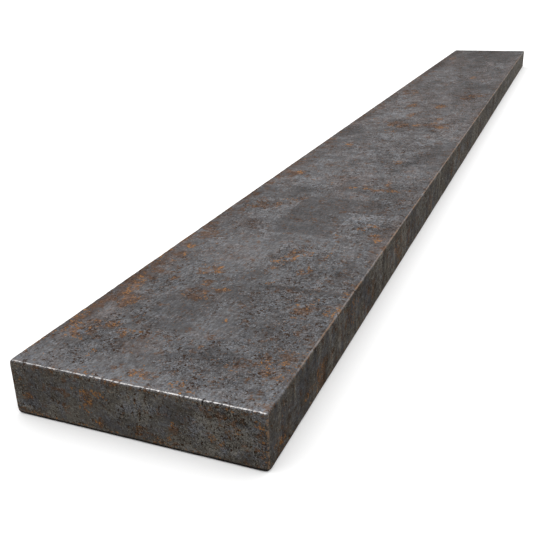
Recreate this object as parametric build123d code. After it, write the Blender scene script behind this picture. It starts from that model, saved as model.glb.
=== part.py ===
from build123d import *

import os

# Hot-rolled steel flat bar, sawn square at both ends. All sizes are millimetres.
#
# The bar lies on a wide face. X is its width, Y its length and Z its thickness,
# and the origin is the middle of the face that it lies on.

# The section that leaves the finishing rolls.
BAR_WIDTH = 90.0
BAR_THICKNESS = 20.0

# The rolls close on the four long edges without filling them to a sharp corner.
ROLLED_CORNER_RADIUS = 1.0

# The length that the bar is sawn to.
BAR_LENGTH = 900.0

# The saw leaves a sharp outline round each end face, and a file takes it off at 45 degrees.
FILED_EDGE = 0.5


def rolled_section() -> Sketch:
    """The section: a rectangle with its four corners round, standing on its lower side."""
    rectangle = Rectangle(BAR_WIDTH, BAR_THICKNESS, align=(Align.CENTER, Align.MIN))
    return fillet(rectangle.vertices(), ROLLED_CORNER_RADIUS)


def sawn_blank() -> Part:
    """The section carried along Y, half of the length each way from the origin."""
    return extrude(Plane.XZ * rolled_section(), amount=BAR_LENGTH / 2, both=True)


def file_end_outlines(blank: Part) -> Part:
    """Breaks the whole outline of each sawn face: four straight edges and four round corners."""
    sawn_faces = blank.faces().filter_by(Axis.Y)
    return chamfer(sawn_faces.edges(), FILED_EDGE)


def flat_bar() -> Part:
    """The bar, one solid from end to end."""
    return file_end_outlines(sawn_blank())


os.makedirs("parts", exist_ok=True)
export_step(flat_bar(), "parts/flat_bar.step")
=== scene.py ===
"""Hot-rolled steel flat bar, with its mill scale, rust and worn edges, lying on a pale studio floor.

The bar is one closed surface worked out on a lattice with numpy. Its length runs along Y, its width along X
and its thickness along Z, and its near end is the one towards -Y. Sizes in the settings are metres. The
fields over the surface, and the patches placed on it, are in millimetres.
"""

import math
from types import SimpleNamespace

import bpy
import numpy as np
from bpy.props import FloatProperty, FloatVectorProperty, IntProperty, PointerProperty
from mathutils import Matrix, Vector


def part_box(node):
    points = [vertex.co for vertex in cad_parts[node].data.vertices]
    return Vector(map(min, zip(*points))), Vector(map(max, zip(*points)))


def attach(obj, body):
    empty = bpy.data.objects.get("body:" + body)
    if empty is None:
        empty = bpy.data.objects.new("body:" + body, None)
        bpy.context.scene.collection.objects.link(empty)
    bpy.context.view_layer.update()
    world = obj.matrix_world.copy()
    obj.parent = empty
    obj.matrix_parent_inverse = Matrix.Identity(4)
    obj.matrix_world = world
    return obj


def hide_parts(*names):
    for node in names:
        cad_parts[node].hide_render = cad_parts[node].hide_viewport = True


bl_info = {
    "name": "Flat bar",
    "version": (1, 0, 0),
    "blender": (4, 5, 0),
    "location": "3D View > Sidebar > Flat bar",
    "description": "Builds the surface of a hot-rolled flat bar and the studio that it lies in",
    "category": "Object",
}

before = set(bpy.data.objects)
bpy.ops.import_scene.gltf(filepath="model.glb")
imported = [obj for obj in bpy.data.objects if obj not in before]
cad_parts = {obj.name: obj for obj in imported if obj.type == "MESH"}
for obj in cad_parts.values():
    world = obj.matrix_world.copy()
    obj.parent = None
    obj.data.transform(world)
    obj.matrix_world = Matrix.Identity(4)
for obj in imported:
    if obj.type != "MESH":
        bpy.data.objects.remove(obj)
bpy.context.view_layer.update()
BAR_LOW, BAR_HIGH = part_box("flat_bar")

MM = 0.001
HALF_WIDTH = (BAR_HIGH.x - BAR_LOW.x) / 2 / MM
HALF_LENGTH = (BAR_HIGH.y - BAR_LOW.y) / 2 / MM
THICKNESS = (BAR_HIGH.z - BAR_LOW.z) / MM

# How far along the bar the patterns on the scale are drawn out to twice their length, in millimetres.
DRAWN_REACH = 600.0

# The near top edge is worn bright over a narrow band, and a nick crosses it right of the middle. Millimetres.
WORN_BAND = 0.5
NICK_X, NICK_HALF_WIDTH, NICK_DEPTH = 24.8, 0.3, 0.4

# Corners of the near end that were knocked blunt: across from the middle, up from the floor, depth. A dent is
# full up to one distance from its corner and gone at another. Millimetres.
KNOCKED_CORNERS = ((HALF_WIDTH, 0.0, 0.4), (-HALF_WIDTH, 0.0, 0.35), (-HALF_WIDTH, THICKNESS, 0.25))
DENT_FULL, DENT_GONE = 0.3, 2.0


# ----------------------------------------------------------------------------------------------------------
# Fields: numbers over the surface, worked out for whole arrays of points
# ----------------------------------------------------------------------------------------------------------


def smooth_step(value, low, high):
    """0 at low and before it, 1 at high and past it, and 3t^2 - 2t^3 in between. Low may be the greater."""
    t = np.clip((value - low) / (high - low), 0, 1)
    return t * t * (3 - 2 * t)


def soft_noise(points, size, seed):
    """Value noise from 0 to 1: a random number at each corner of cells of a size, blended between them."""
    table = np.random.default_rng(seed).random((32, 32, 32))
    place = points / size
    cell = np.floor(place).astype(int)
    share = smooth_step(place - cell, 0, 1)
    total = np.zeros(len(points))
    for corner in np.ndindex(2, 2, 2):
        weight = np.where(corner, share, 1 - share).prod(axis=1)
        total += weight * table[tuple(((cell + corner) % 32).T)]
    return total


def rough_noise(points, size, seed, octaves=3, share=0.6):
    """Soft noise about 0, and the same again by octaves, each half the size and a share of the strength."""
    total, strength = np.zeros(len(points)), 1.0
    for octave in range(octaves):
        total += strength * (soft_noise(points, size, seed + octave) - 0.5)
        size, strength = size / 2, strength * share
    return total


def wandering(points, size, seed, reach):
    """A move for each point, of up to about the reach, by three noises. It makes round patches ragged."""
    drift = [rough_noise(points, size, seed + 10 * axis) for axis in range(3)]
    return 2 * reach * np.stack(drift, axis=1)


# ----------------------------------------------------------------------------------------------------------
# Patches placed one by one. Each is an oval or a sheet: two places, two half sizes and a strength.
# ----------------------------------------------------------------------------------------------------------

# On the top: across from the middle, from the near end, half width, half length, strength. The stains are of
# brown rust and the blooms of fresh orange rust.
TOP_STAINS = (
    (-41.5, 60, 4, 42, 0.85), (-34, 26, 5.5, 6.5, 0.85), (-28, 32, 4.5, 4, 0.85),
    (-33.5, 52, 4.5, 6.5, 0.95), (-20, 29.5, 3, 3, 0.6), (-36.5, 63, 2.5, 6, 0.75), (-40, 71, 3, 6, 0.95),
    (-38, 81, 3.5, 4.5, 0.95), (-36, 97, 3.5, 5.5, 0.95), (-36.5, 110, 2, 4.5, 0.8),
    (-36, 125, 3.5, 4.5, 0.9), (-10, 66, 7.5, 7, 0.75), (-12, 75, 3.5, 4.5, 0.9), (-3, 71, 4, 3, 0.8),
    (-17, 88, 6, 5, 0.9), (-26, 76, 2.5, 2, 0.6), (0, 7, 6, 4, 0.5), (37, 27, 8, 11, 0.5),
    (25, 22, 4, 5, 0.6), (31, 65, 5, 6, 0.85), (9.5, 110, 3.5, 5, 0.8), (20, 99, 4, 5, 0.8),
    (14, 118, 5, 3, 0.6), (11, 72, 3, 2, 0.6), (-36, 235, 8, 8, 0.85), (25, 217, 10, 4, 0.75),
    (24, 229, 3.5, 11, 0.6), (-15.5, 189, 4.5, 3, 0.8), (-28, 177, 7, 8, 0.75), (-42, 172, 4, 4, 0.7),
    (-35, 163, 2.5, 7, 0.5), (33, 157, 8, 4, 0.7), (11, 134, 8, 3, 0.5), (-38, 131, 6, 10, 0.65),
    (40, 143, 4, 5, 0.7), (-14, 471, 5.5, 9, 0.95), (10, 472, 5.5, 8, 0.95), (-7, 430, 4.5, 10, 0.85),
    (18, 417, 4, 6, 0.8), (-9, 391, 9, 12, 0.85), (5, 392, 5, 6, 0.6), (20, 393, 12, 11, 0.85),
    (-25, 317, 4, 4, 0.7), (17, 279, 4.5, 5, 0.6), (-36, 684, 8, 12, 0.6), (-33, 540, 9, 22, 0.6),
    (31, 530, 11, 14, 0.6), (-36, 314, 4, 9, 0.6), (-34, 810, 4, 20, 0.6), (-42, 230, 4, 150, 0.5),
    (-41, 450, 5, 120, 0.5), (-41, 700, 5, 180, 0.5), (24, 522, 6, 18, 0.6),
)
TOP_BLOOMS = (
    (-27.3, 33.2, 2.3, 1.7, 1.4), (-33.8, 33.2, 1.0, 1.3, 1.2), (-19.5, 28, 0.8, 1.3, 1.3),
    (-18.3, 30.3, 0.9, 1.0, 1.2), (-22.3, 13.2, 0.6, 2.2, 1.1), (-14.5, 30.8, 0.6, 0.8, 1.0),
    (-24.8, 34.5, 1, 1, 1.0), (-33, 20.2, 2.5, 0.7, 1.0), (-41.5, 33, 1.5, 4, 0.9),
    (-43.5, 38, 1, 5, 0.95), (-44.2, 14, 0.8, 6, 1.0), (-38, 26, 4, 6, 0.55), (-37, 58.5, 0.7, 3, 1.2),
    (-38.5, 62.5, 0.6, 3, 1.1), (-37.2, 70, 1.0, 2.3, 1.2), (-40.5, 72, 1, 3.5, 0.95),
    (-35.2, 66.5, 0.7, 2, 0.9), (-33, 52, 4, 5, 0.55), (-35, 82, 1, 1.6, 1.0), (-36, 92.5, 1.6, 1, 0.8),
    (-35, 101.5, 1, 2.6, 1.1), (-37, 109.5, 1.2, 2.4, 1.2), (-44, 95, 0.8, 2.5, 1.0),
    (-44, 120, 1, 7, 0.8), (-43.5, 104, 0.8, 3, 0.9), (-24.5, 77, 0.8, 0.9, 1.1),
    (-27, 75.5, 0.8, 1.3, 1.0), (-15.5, 64.5, 1, 2, 0.9), (-8, 62.5, 1.1, 0.8, 0.9),
    (-4.8, 62.3, 0.8, 0.8, 0.9), (-9, 67, 1.3, 1, 0.7), (-5.5, 71.5, 1.2, 0.9, 1.05),
    (-2.5, 72, 1.9, 0.9, 1.3), (-12.5, 75.5, 1, 2, 0.8), (-13.8, 90, 1.2, 2.1, 1.3),
    (-11.5, 86.5, 1.1, 1.3, 1.2), (-18.5, 85, 1.3, 1, 0.9), (-21.5, 92.5, 1, 1.1, 1.0),
    (-17, 95.2, 0.9, 1.1, 1.2), (9, 48, 0.8, 1.1, 1.3), (11.3, 83.5, 0.9, 0.9, 1.3),
    (7.3, 98.5, 1.1, 0.9, 1.3), (7, 104.3, 2.3, 1.1, 1.3), (11.7, 110.5, 1, 3, 1.0),
    (9, 117.5, 0.8, 2.7, 1.2), (12, 115, 0.9, 2.7, 1.1), (16.5, 118, 1.6, 1.2, 1.3),
    (12.5, 119.5, 1, 1.1, 1.1), (18.3, 98, 1, 1.1, 0.9), (21.8, 101.8, 1.6, 1.6, 1.0),
    (19.3, 95.5, 1.3, 1, 0.9), (24.5, 122, 0.7, 5, 1.0), (32, 83.7, 0.8, 1.6, 0.9),
    (42.5, 82, 0.8, 1.8, 1.0), (31.7, 58.5, 0.8, 0.9, 1.3), (29, 68, 1, 1.2, 1.0), (34, 72, 0.9, 3, 0.85),
    (31, 65, 4, 4, 0.55), (40.5, 64.7, 0.9, 1.1, 1.2), (40.7, 67.7, 0.8, 0.9, 1.2),
    (43.9, 67, 0.7, 4, 1.1), (37, 28, 7, 9, 0.3), (25, 21, 3, 4, 0.35), (44.2, 28, 1, 11, 0.6),
    (39.5, 27.5, 1, 1.6, 1.2), (33.5, 28.5, 0.9, 1.5, 1.1), (36.5, 19, 0.9, 1.1, 1.1),
    (23, 20, 0.9, 1.3, 1.0), (41, 19, 1.5, 1.5, 0.9), (-2, 8, 1.6, 3.2, 0.8), (0.5, 4, 1, 3, 0.7),
    (12.5, 5, 1, 1.6, 1.0), (14.5, 7.5, 0.9, 1.3, 1.1), (18.3, 2.5, 1.6, 1.3, 1.2),
    (-5, 2.5, 1.2, 1.5, 0.9), (-18, 2, 3, 1, 0.7), (10, 28.5, 0.7, 1, 1.0), (-33, 241, 3, 2.5, 1.2),
    (-8, 223, 1.2, 2, 1.1), (6, 219, 2, 2, 1.1), (14, 218, 2, 2.3, 1.3), (25, 217, 6, 2.2, 0.95),
    (31.5, 217, 3, 1.6, 0.9), (23, 230, 1.3, 3, 0.9), (22, 238, 1, 2.3, 0.9), (-34, 171.5, 4, 1.6, 0.8),
    (-27.5, 172, 3, 1, 0.9), (-22, 178, 1.4, 4, 0.8), (-22.5, 187, 1.2, 1.5, 1.1),
    (-17.5, 189, 1.6, 1.2, 0.9), (27.5, 153.5, 2, 1.5, 1.1), (32, 160, 2.5, 2, 0.9),
    (40, 141.5, 2, 2, 1.0), (37, 148, 2, 2, 0.8), (20, 143, 1.2, 1.6, 0.9), (-14, 472, 4, 7, 0.95),
    (9, 472, 4, 7, 0.95), (-7, 429, 2.5, 8, 0.95), (17.5, 417, 2.2, 4, 0.95), (17, 402, 2.5, 3, 0.9),
    (-13, 387, 2.5, 5, 1.05), (-6, 384, 2, 3.5, 1.05), (-4, 395, 3, 4, 0.75), (6, 391, 3, 5, 1.1),
    (25, 388, 5, 5, 1.0), (17, 400, 4, 4, 0.8), (-31, 408, 1.5, 4, 0.8), (-25, 317.5, 2.5, 2.5, 1.2),
    (17, 279, 4, 4, 0.8), (-12, 370, 2, 4, 0.85), (-6, 366, 2, 3, 0.8), (-25, 537, 3, 8, 0.95),
    (13, 645, 3, 9, 0.9), (-34, 810, 3, 16, 0.8), (30, 532, 6, 10, 0.7), (22, 520, 3, 8, 0.8),
)
# Islands of whole scale in the rust of the top, blue and clean, with fresh rust along their outlines. They
# have no strength.
TOP_PLATES = (
    (-34, 25.5, 2.2, 2.6), (-30.8, 31.7, 1.8, 1.9), (-20.4, 29.8, 1.2, 1.5), (-36.2, 61.3, 1.3, 2.2),
    (-36.8, 65.6, 1.2, 1.9), (-16.8, 88.7, 1.5, 1.7), (9, 109.3, 2.0, 2.8), (20.5, 99.4, 1.7, 2.5),
    (15.3, 115.8, 1.8, 1.5), (14.2, 5.8, 1.2, 1.2), (-40.2, 26, 1.4, 1.6), (36, 24, 1.6, 1.6),
)
# Where the scale is lighter, above 0, or darker.
TOP_TONES = (
    (7, 37, 6, 9, 0.3), (17, 21, 9, 8, -0.5), (-14, 108, 19, 28, 0.2), (14, 128, 26, 9, 0.25),
    (-23, 147, 8, 8, -0.5), (27, 188, 8, 11, -0.3), (-8, 206, 10, 9, 0.2), (4, 240, 13, 24, 0.25),
    (29, 249, 13, 21, 0.45), (22, 320, 8, 24, 0.6), (-33, 361, 6, 15, -0.9), (-5, 367, 5, 6, -0.8),
    (-4, 352, 9, 16, 0.5), (-18, 433, 7, 19, 0.3), (32, 380, 8, 22, 0.4), (8, 475, 5, 8, -0.6),
    (2, 484, 5, 9, -0.7), (24, 522, 6, 20, -0.6), (-2, 556, 9, 26, 0.3), (-20, 604, 9, 17, -0.5),
    (18, 634, 6, 26, 0.35), (32, 700, 8, 25, -0.35), (15, 706, 4, 15, 0.9), (2, 734, 7, 15, -0.7),
    (20, 757, 4, 18, 0.7), (33, 802, 11, 23, -0.6), (-6, 862, 19, 29, -0.7), (-30, 860, 9, 30, 0.2),
    (-18, 650, 12, 25, 0.3), (-42, 194, 3.5, 19, -0.4), (-41, 362, 5, 21, -0.8), (-41, 418, 5, 32, -0.5),
    (-41, 495, 5, 40, -0.35), (-40, 600, 6, 30, -0.5), (-40, 730, 7, 80, -0.7), (-40, 850, 7, 35, -0.6),
    (-41.5, 58, 3.5, 42, -0.5), (-10, 67, 7, 7, -0.4), (-38, 150, 7, 22, -0.35),
)
# Sheets of scale with straight sides and a sharp outline. The strength is that of the tone.
TOP_SHEETS = (
    (-27, 25.5, 9.5, 5.5, -0.1), (-29, 31, 16, 32, 0.12), (-34, 40.5, 3.5, 6, 0.15),
    (-11, 47.5, 11.5, 14.5, -0.4), (-28.5, 78, 6.5, 20, 0.22), (-15, 112, 15, 16, 0.2),
    (23, 48, 5.5, 10, -0.4), (5, 67, 9, 9, -0.2), (22, 85.5, 11, 3, 0.5), (26, 80.8, 14, 1.6, -0.8),
    (35.5, 101, 3.5, 14, -0.45), (-8, 136.8, 26, 0.7, 0.5), (3, 167, 15, 28.5, -0.5),
    (-2, 160, 8, 20, -0.2), (-31, 199.5, 13, 11.5, -0.55), (-16.5, 204, 4, 7, -0.4),
    (-17, 223, 12, 11, 0.4), (-23.5, 163.5, 9, 8.5, 0.45), (-18.5, 179, 6.5, 7.5, 0.35),
    (27, 166, 8, 9.5, 0.75), (24.5, 188, 5.5, 12, -0.4), (8, 204, 13, 8, 0.3), (-38.5, 278, 7, 52, -0.45),
    (-11, 280, 20, 3.2, -0.35), (34, 296, 11.5, 34, -0.5), (39, 315, 6, 24, -0.4),
    (-19, 432, 8.5, 22, 0.4), (-25, 500, 7.5, 20, 0.5), (30, 584, 15, 16, -0.7), (30, 625, 5.5, 26, 0.45),
    (-5, 630, 3.5, 22, 0.35), (22, 852, 20, 36, -0.5), (0, 893, 45, 7, -0.5), (12, 345, 14, 20, 0.2),
    (-30, 340, 8, 14, -0.3),
)
# Where the scale is pitted and flaking, up to 1, or smoother than it mostly is, below 0.
TOP_PITTED = (
    (-12, 113, 17, 18, -0.7), (10, 42, 11, 17, -0.6), (23, 46, 5, 13, -0.6), (-8, 22, 9, 8, -0.5),
    (12, 24, 8, 9, -0.6), (-36, 41, 6, 6, -0.5), (-32, 110, 10, 14, -0.4), (5, 132, 14, 9, -0.5),
    (-14, 12, 30, 10, -0.3), (-24, 30, 12, 28, 0.8), (-28, 72, 8, 12, 0.9), (28, 70, 19, 45, 1.0),
    (22, 20, 24, 20, 0.8), (10, 112, 12, 14, 0.7), (30, 165, 13, 15, 0.9), (24, 220, 19, 14, 0.8),
    (34, 200, 8, 20, 0.7), (-30, 175, 9, 10, 0.7), (-18, 190, 4, 8, 0.8), (18, 300, 20, 45, 0.9),
    (-10, 215, 9, 10, 0.6), (20, 395, 20, 30, 0.9), (-12, 390, 12, 20, 0.7), (-4, 345, 12, 20, 0.7),
    (-14, 475, 12, 18, 0.8), (26, 520, 14, 24, 0.8), (12, 620, 22, 30, 0.6), (22, 730, 18, 50, 0.7),
    (-34, 540, 9, 25, 0.6),
)
# Where a thin brown film of rust lies on the scale.
TOP_FILMS = (
    (-11, 23, 8, 7, 0.6), (-13, 111, 17, 10, 0.3), (-41, 100, 7, 80, 0.5), (-41, 260, 6, 90, 0.45),
    (-41, 420, 7, 90, 0.5), (-40, 600, 8, 120, 0.5), (-39, 800, 9, 110, 0.5), (4, 228, 16, 18, 0.5),
    (5, 400, 34, 30, 0.4), (25, 400, 17, 40, 0.45), (-25, 770, 18, 50, 0.7), (20, 640, 14, 30, 0.5),
    (-24, 147, 9, 8, 0.6), (20, 757, 6, 20, 0.6), (22, 525, 9, 26, 0.7), (0, 500, 45, 60, 0.3),
    (-37, 42, 9, 28, 0.85), (-40, 88, 7, 24, 0.8), (-10, 67, 9, 8, 0.6), (-38, 236, 8, 13, 1.1),
    (-38, 541, 9, 20, 1.1), (43.5, 80, 2, 20, 0.5), (43, 146, 4, 30, 1.0), (43, 420, 3, 80, 0.6),
    (42, 690, 4, 120, 0.5),
)
# On the near end: across from the middle, up from the floor, half width, half height, strength.
END_STAINS = (
    (32, 16.5, 7, 2.5, 0.6), (34, 12, 4, 4, 0.6), (13, 7, 2.5, 3, 0.8), (-27, 12.5, 6, 1.2, 0.8),
    (-25, 17, 3, 1.5, 0.7), (-40, 7.5, 5, 1, 0.85), (-17, 11, 3.5, 5, 0.55), (-12, 4, 3, 2, 0.5),
    (4, 4, 5, 2.5, 0.7), (42.5, 10, 2, 9, 0.6), (-44, 10, 1.2, 9, 0.7), (27, 8, 2.5, 2, 0.5),
)
END_BLOOMS = (
    (-20, 15, 1, 0.8, 1.1), (-17, 14.3, 0.8, 1.2, 1.0), (-16, 12.4, 2, 1.1, 1.2),
    (-18.3, 13.5, 1, 0.8, 1.1), (-16.8, 9.8, 1.5, 1.2, 1.1), (-15.8, 11, 0.6, 1.2, 1.1),
    (-18.5, 7.8, 0.8, 1, 1.0), (-13.7, 14.8, 0.9, 0.6, 1.1), (-11.5, 14.5, 1.1, 1, 1.2),
    (-9.5, 12.8, 0.6, 0.5, 1.4), (-16, 7.5, 0.6, 0.8, 0.9), (-13.2, 4.3, 1.2, 1.2, 0.85),
    (12.6, 4.3, 0.8, 0.8, 1.4), (14.5, 8.6, 0.6, 0.6, 1.2), (12.5, 2, 0.8, 1, 0.9), (33, 13, 3, 3, 0.55),
    (27, 7.5, 0.9, 0.9, 1.1), (28.5, 7, 0.6, 0.6, 1.0), (35.8, 11.3, 0.8, 0.7, 1.1),
    (30.4, 6.3, 0.6, 1.3, 0.9), (33, 19, 1.6, 0.7, 1.0), (24.5, 17.3, 0.7, 0.6, 1.0),
    (42.5, 15.5, 1.5, 0.8, 1.1), (43.5, 13, 1, 4, 0.8), (42, 10.2, 2.3, 0.5, 0.95),
    (42.5, 7.5, 1.8, 0.6, 0.8), (43.8, 3, 0.8, 3, 1.0), (-39.5, 7.3, 2, 0.6, 0.9),
    (-36.5, 1.6, 2, 0.7, 0.9), (-44.2, 8, 0.7, 8, 0.75), (2.5, 3.5, 3, 2, 0.6), (10, 2.5, 2, 1, 0.7),
    (-41.5, 14, 0.6, 0.6, 1.0),
)
END_PITTED = ((33, 10, 14, 14, 1.0), (2, 8, 9, 9, 0.6), (-25, 10, 18, 12, -0.1))
END_TONES = (
    (1, 11.5, 6, 6, 0.6), (-37, 5, 5, 4, -0.4), (30, 9, 12, 7, 0.75), (38, 4, 7, 4, -0.5),
    (-28, 8, 10, 5, 0.2), (16, 14, 7, 4, -0.5), (-3, 4, 12, 3, -0.4), (-36, 13, 10, 8, -0.4),
    (-40.5, 3.4, 2, 0.9, 1.4),
)
# On the right side: from the near end, up from the floor, half length, half height, strength.
SIDE_STAINS = (
    (48, 7.5, 7, 6, 0.95), (10, 5, 6, 3, 0.65), (77, 12.5, 9, 6, 0.5), (35, 6, 7, 1.5, 0.6),
    (150, 13, 4, 4, 0.5), (164, 8, 6, 8, 0.75), (242, 8, 6, 7, 0.6), (107, 8, 10, 9, 0.5),
    (139, 10, 4, 9, 0.5), (186, 9, 8, 9, 0.5), (314, 8, 6, 7, 0.7), (346, 12, 6, 7, 0.6),
    (384, 9, 8, 8, 0.6), (455, 9, 12, 8, 0.5), (540, 9, 16, 9, 0.5),
)
SIDE_BLOOMS = (
    (9, 5.2, 2, 1, 1.1), (11, 4.4, 1.7, 0.7, 1.2), (4, 6.4, 1.6, 0.7, 0.9), (11, 9, 0.8, 4, 0.7),
    (35, 6.5, 5, 0.7, 1.0), (21, 18.5, 0.7, 1.2, 1.1), (50, 9.5, 1.6, 1.6, 0.9), (46, 8, 4, 3.5, 0.65),
    (43, 2, 2, 2, 0.6), (85, 12, 2.5, 4.5, 0.9), (91, 14, 1.5, 2, 0.7), (157.5, 11, 3, 4, 0.95),
    (163, 5, 2, 4, 0.7), (243, 8, 3, 4, 0.7), (315, 7, 4, 4, 0.7),
)
SIDE_TONES = (
    (65, 10, 8, 9, 0.3), (122, 17, 8, 3, 0.6), (123.5, 15.4, 1.2, 1.2, -1.0), (173, 10, 7, 9, 0.4),
    (205, 10, 9, 9, 0.4), (225, 10, 8, 9, -0.3), (30, 10, 9, 9, -0.2),
)


def patch_field(points, patches, axes, fixed, depth, fade):
    """The strongest patch at each point: a patch's strength, fading to 0 around its oval.

    The patches lie on one face of the bar. Its two axes are given, and the fixed place of the face on the
    third. A point's distance is the root of the sum of squares of its distances over the two half sizes and
    over the depth that a patch reaches round the edge, and the strength fades between two such distances.
    """
    first, second = axes
    third = 3 - first - second
    beyond = (points[:, third] - fixed) / depth
    field = np.zeros(len(points))
    for a, b, half_a, half_b, strength in patches:
        off_a, off_b = (points[:, first] - a) / half_a, (points[:, second] - b) / half_b
        away = np.sqrt(off_a**2 + off_b**2 + beyond**2)
        value = strength * smooth_step(away, fade[1], fade[0])
        field = np.where(np.abs(value) > np.abs(field), value, field)
    return field


def placed(points, top=(), end=(), side=(), fade=(0.45, 1.3)):
    """The patches of the three faces that were listed, together. Points count Y from the near end."""
    fields = (
        patch_field(points, top, axes=(0, 1), fixed=THICKNESS, depth=3.0, fade=fade),
        patch_field(points, end, axes=(0, 2), fixed=0.0, depth=2.5, fade=fade),
        patch_field(points, side, axes=(1, 2), fixed=HALF_WIDTH, depth=2.5, fade=fade),
    )
    strongest = np.argmax(np.abs(fields), axis=0)
    return np.choose(strongest, fields)


# ----------------------------------------------------------------------------------------------------------
# The bar's surface
# ----------------------------------------------------------------------------------------------------------


def bar_stations(bar):
    """Where the lattice's planes cross X, Y and Z: close together over the rolled corners and filed ends.

    Along Y the cells grow. With s the near share and t from 0 to 1, a plane is at s t + (1 - s) t^2.5 of the
    length. Planes also stand at the nick's sides and bottom and at the end of the worn band.
    """
    arc = np.tan(np.radians(np.linspace(0, 45, bar.corner_steps + 1)))
    radius, filed = bar.corner_radius / MM, bar.filed_edge / MM

    def across(half, count, extra=()):
        flat = np.sort(np.concatenate([np.linspace(-(half - radius), half - radius, count + 1), extra]))
        rounded = half - radius + radius * arc[1:]
        return np.concatenate([-rounded[::-1], flat, rounded])

    inner = HALF_LENGTH - filed
    breaks = inner + filed * np.linspace(0, 1, bar.filed_steps + 1)[1:]
    pace = np.linspace(0, 1, bar.cells_along + 1)
    eased = bar.near_share * pace + (1 - bar.near_share) * pace**2.5
    middle = -inner + 2 * inner * eased
    worn = inner - WORN_BAND * np.array([0.5, 1.0])
    along = np.sort(np.concatenate([-breaks[::-1], -worn, middle, breaks]))
    nick = NICK_X + NICK_HALF_WIDTH * np.array([-1.0, 0.0, 1.0])
    return across(HALF_WIDTH, bar.cells_across, nick), along, across(THICKNESS / 2, bar.cells_through)


def lattice_surface(counts):
    """The points on the outside of a block of cells: their places in the lattice, and grids of their numbers.

    There is a grid for each side of the block, laid so that its faces look away from the block.
    """
    outer = np.zeros(tuple(counts), bool)
    for axis in range(3):
        ends = [slice(None)] * 3
        ends[axis] = [0, -1]
        outer[tuple(ends)] = True
    number = np.full(outer.shape, -1)
    number[outer] = np.arange(outer.sum())
    sides = {
        "left": number[0, :, :].T,
        "top": number[:, :, -1],
        "right": number[-1, :, :],
        "bottom": number[:, :, 0].T,
        "near": number[:, 0, :],
        "far": number[:, -1, :].T,
    }
    return np.argwhere(outer), sides


def grid_faces(grid):
    """Four-cornered faces over a grid of corner numbers, wound so that they face away from the block."""
    return np.stack([grid[:-1, :-1], grid[1:, :-1], grid[1:, 1:], grid[:-1, 1:]], axis=-1).reshape(-1, 4)


def rolled_and_filed(block, bar):
    """Block points moved onto the bar: what lies beyond the flat sides goes round an arc of the radius.

    The arc shrinks towards each sawn end by the filed edge, which makes the 45 degree break of the outline.
    """
    radius, filed = bar.corner_radius / MM, bar.filed_edge / MM
    x, y, z = block.T
    flat_x, flat_z = HALF_WIDTH - radius, THICKNESS / 2 - radius
    beyond = np.stack([x - np.clip(x, -flat_x, flat_x), z - np.clip(z, -flat_z, flat_z)], axis=1)
    square = np.abs(beyond).max(axis=1)
    straight = np.maximum(np.linalg.norm(beyond, axis=1), 1e-9)
    inset = np.clip(np.abs(y) - (HALF_LENGTH - filed), 0, filed)
    reach = square * (radius - inset) / radius
    moved = beyond * (reach / straight)[:, None]
    x, z = np.clip(x, -flat_x, flat_x) + moved[:, 0], np.clip(z, -flat_z, flat_z) + moved[:, 1]
    return np.stack([x, y, z], axis=1)


def outward(points, bar):
    """The way out of the bar at each point: away from the block that lies inside its rounded corners."""
    radius, filed = bar.corner_radius / MM, bar.filed_edge / MM
    inner = np.array([HALF_WIDTH - radius, HALF_LENGTH - filed, THICKNESS / 2 - radius])
    beyond = (points - np.clip(points, -inner, inner)) / np.array([radius, filed, radius])
    return beyond / np.linalg.norm(beyond, axis=1)[:, None]


def corner_nearness(points, fade):
    """How near each point is to one of the bar's twelve edges: 1 on an edge, 0 from the fade distance on."""
    half = np.array([HALF_WIDTH, HALF_LENGTH, THICKNESS / 2])
    inside = np.sort(half - np.abs(points), axis=1)
    return 1 - smooth_step(inside[:, 1], 0, fade)


def nick_share(points):
    """1 along the bottom of the nick across the near top edge, 0 at its sides and ends."""
    aside = np.abs(points[:, 0] - NICK_X) / NICK_HALF_WIDTH
    behind, below = points[:, 1] + HALF_LENGTH, THICKNESS / 2 - points[:, 2]
    return np.clip(1 - aside, 0, 1) * (1 - smooth_step(behind, 0.6, 2.2)) * (1 - smooth_step(below, 0.5, 1.4))


def dented_corners(points):
    """How deep the knocked corners of the near end lie under the square ones."""
    depth = np.zeros(len(points))
    for x, z, dent in KNOCKED_CORNERS:
        away = np.linalg.norm(points - np.array([x, -HALF_LENGTH, z - THICKNESS / 2]), axis=1)
        depth = np.maximum(depth, dent * smooth_step(away, DENT_GONE, DENT_FULL))
    return depth


def worn_relief(points, stain, bar):
    """How deep the surface lies under the rolled one, in millimetres.

    That is the waves of the scale, pits under the stains, chips on the edges where a noise is high, the nick
    across the near top edge and the dents in the knocked corners, added up.
    """
    waves = 0.5 + rough_noise(points, size=14.0, seed=40)
    pits = stain * smooth_step(soft_noise(points, size=3.0, seed=50), 0.45, 0.8)
    chipped = smooth_step(rough_noise(points, size=5.0, seed=60), 0.22, 0.5)
    chips = corner_nearness(points, fade=1.6) * chipped
    depth = bar.scale_relief * waves + bar.pit_depth * pits + bar.chip_depth * chips
    return np.clip(depth / MM, 0, None) + nick_share(points) * NICK_DEPTH + dented_corners(points)


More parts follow.
